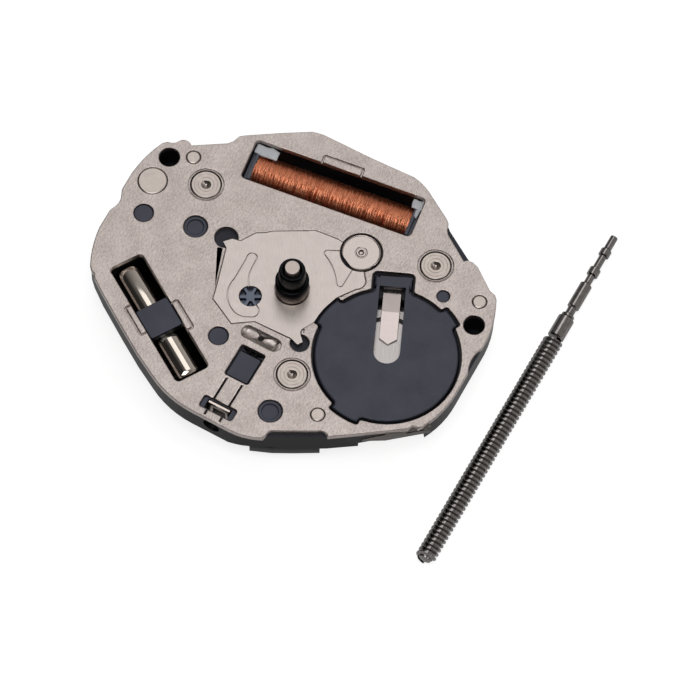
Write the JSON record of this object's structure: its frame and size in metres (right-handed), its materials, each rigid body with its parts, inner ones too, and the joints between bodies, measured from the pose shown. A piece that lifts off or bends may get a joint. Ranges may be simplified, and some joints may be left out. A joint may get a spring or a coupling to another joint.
{
  "type": "quartz watch movement",
  "caption": "Thin oval two-hand quartz watch movement, dial side up, with its battery, coil, crystal, gear train and keyless works; the threaded winding stem lies beside it.",
  "frame": {"origin": "on the hand axis, at the dial seat, which is the top face of the metal dial plate", "axes": "+X points out along the winding stem at 3 o'clock, +Y points to 12 o'clock, +Z points to the dial and along the hand axis"},
  "size_m": [0.0178, 0.0202, 0.0049],
  "materials": {
    "nickel_plate": "stamped brass sheet, satin nickel plated",
    "steel": "hardened steel sheet, tumbled",
    "bright_steel": "turned and polished steel",
    "brass": "turned and hobbed brass, gilt",
    "bronze": "pinkish bearing brass, fine turned",
    "black_plastic": "glass-filled moulded plastic, dark grey, fine matte",
    "seal_plastic": "moulded sealing ring",
    "copper_wire": "enamelled copper wire",
    "soft_iron": "annealed soft magnetic sheet",
    "magnet": "sintered magnet",
    "can_metal": "drawn can, satin",
    "quartz": "etched quartz with thin electrodes",
    "battery_steel": "nickel plated battery steel, straight brushed",
    "spring_metal": "bright spring strip",
    "tinned_metal": "tinned contact",
    "board": "thin dark circuit board",
    "chip": "moulded chip"
  },
  "bodies": {
    "movement": {"base_plate": "black_plastic", "dial_plate": "nickel_plate", "motion_guard": "nickel_plate", "rotor_bearing": "bronze", "stator": "soft_iron", "coil_core": "soft_iron", "coil_bobbin": "black_plastic", "coil_winding": "copper_wire", "coil_wire": "copper_wire", "coil_terminals": "tinned_metal", "crystal_can": "can_metal", "crystal_header": "seal_plastic", "crystal_leads": "tinned_metal", "crystal_fork": "quartz", "screw_tubes": "nickel_plate", "bridge_screws": "steel", "plate_rivet": "nickel_plate", "locating_pins": "nickel_plate", "battery_can": "battery_steel", "battery_seal": "seal_plastic", "battery_cap": "battery_steel", "negative_terminal": "spring_metal", "positive_terminal": "steel", "train_bridge": "nickel_plate", "circuit_board": "board", "ic_chip": "chip", "circuit_spacer": "black_plastic", "back_cover": "nickel_plate", "lever_spring": "steel", "lever_posts": "steel", "winding_stem": "bright_steel"},
    "rotor": {"rotor_arbor": "bright_steel", "rotor_magnet": "magnet"},
    "intermediate": {"intermediate_wheel": "brass"},
    "third": {"third_wheel": "brass"},
    "center": {"center_wheel": "brass", "minute_pinion": "bright_steel"},
    "minute_work": {"minute_wheel": "bright_steel"},
    "hour": {"hour_wheel": "brass"},
    "setting": {"setting_wheel": "brass"},
    "lever": {"setting_lever": "steel"},
    "yoke": {"yoke": "steel"},
    "clutch": {"clutch_wheel": "steel"}
  },
  "joints": [
    {"name": "rotor_spin", "type": "hinge", "parent": "movement", "child": "rotor", "pos_m": [-0.00306, 0.00178, -0.0014], "axis": [0, 0, 1], "continuous": true},
    {"name": "intermediate_spin", "type": "hinge", "parent": "movement", "child": "intermediate", "pos_m": [-0.0026, -0.00001, -0.0015], "axis": [0, 0, 1], "continuous": true},
    {"name": "third_spin", "type": "hinge", "parent": "movement", "child": "third", "pos_m": [-0.00141, -0.00164, -0.0013], "axis": [0, 0, 1], "continuous": true},
    {"name": "center_spin", "type": "hinge", "parent": "movement", "child": "center", "pos_m": [0, 0, -0.001], "axis": [0, 0, 1], "continuous": true},
    {"name": "minute_wheel_spin", "type": "hinge", "parent": "movement", "child": "minute_work", "pos_m": [0.00118, -0.00144, -0.00038], "axis": [0, 0, 1], "continuous": true},
    {"name": "hour_wheel_spin", "type": "hinge", "parent": "movement", "child": "hour", "pos_m": [0, 0, 0], "axis": [0, 0, 1], "continuous": true},
    {"name": "setting_wheel_spin", "type": "hinge", "parent": "movement", "child": "setting", "pos_m": [0.00272, -0.00003, -0.00038], "axis": [0, 0, 1], "continuous": true},
    {"name": "setting_lever_turn", "type": "hinge", "parent": "movement", "child": "lever", "pos_m": [0.00557, 0.00201, -0.0013], "axis": [0, 0, 1], "range_deg": [0, 7.5]},
    {"name": "yoke_turn", "type": "hinge", "parent": "movement", "child": "yoke", "pos_m": [0.00353, -0.00172, -0.0013], "axis": [0, 0, 1], "range_deg": [0, 6]},
    {"name": "clutch_slide", "type": "slide", "parent": "movement", "child": "clutch", "axis": [1, 0, 0], "range_m": [-0.00013, 0]}
  ],
  "couplings": [
    {"joint": "intermediate_spin", "follows": "rotor_spin", "ratio": -0.16667},
    {"joint": "third_spin", "follows": "rotor_spin", "ratio": 0.027778},
    {"joint": "center_spin", "follows": "rotor_spin", "ratio": -0.0055556},
    {"joint": "minute_wheel_spin", "follows": "rotor_spin", "ratio": 0.0018519},
    {"joint": "hour_wheel_spin", "follows": "rotor_spin", "ratio": -0.00046296},
    {"joint": "setting_wheel_spin", "follows": "rotor_spin", "ratio": -0.0037037},
    {"joint": "setting_lever_turn", "follows": "clutch_slide", "rad_per_m": -1000},
    {"joint": "yoke_turn", "follows": "clutch_slide", "rad_per_m": -770}
  ]
}
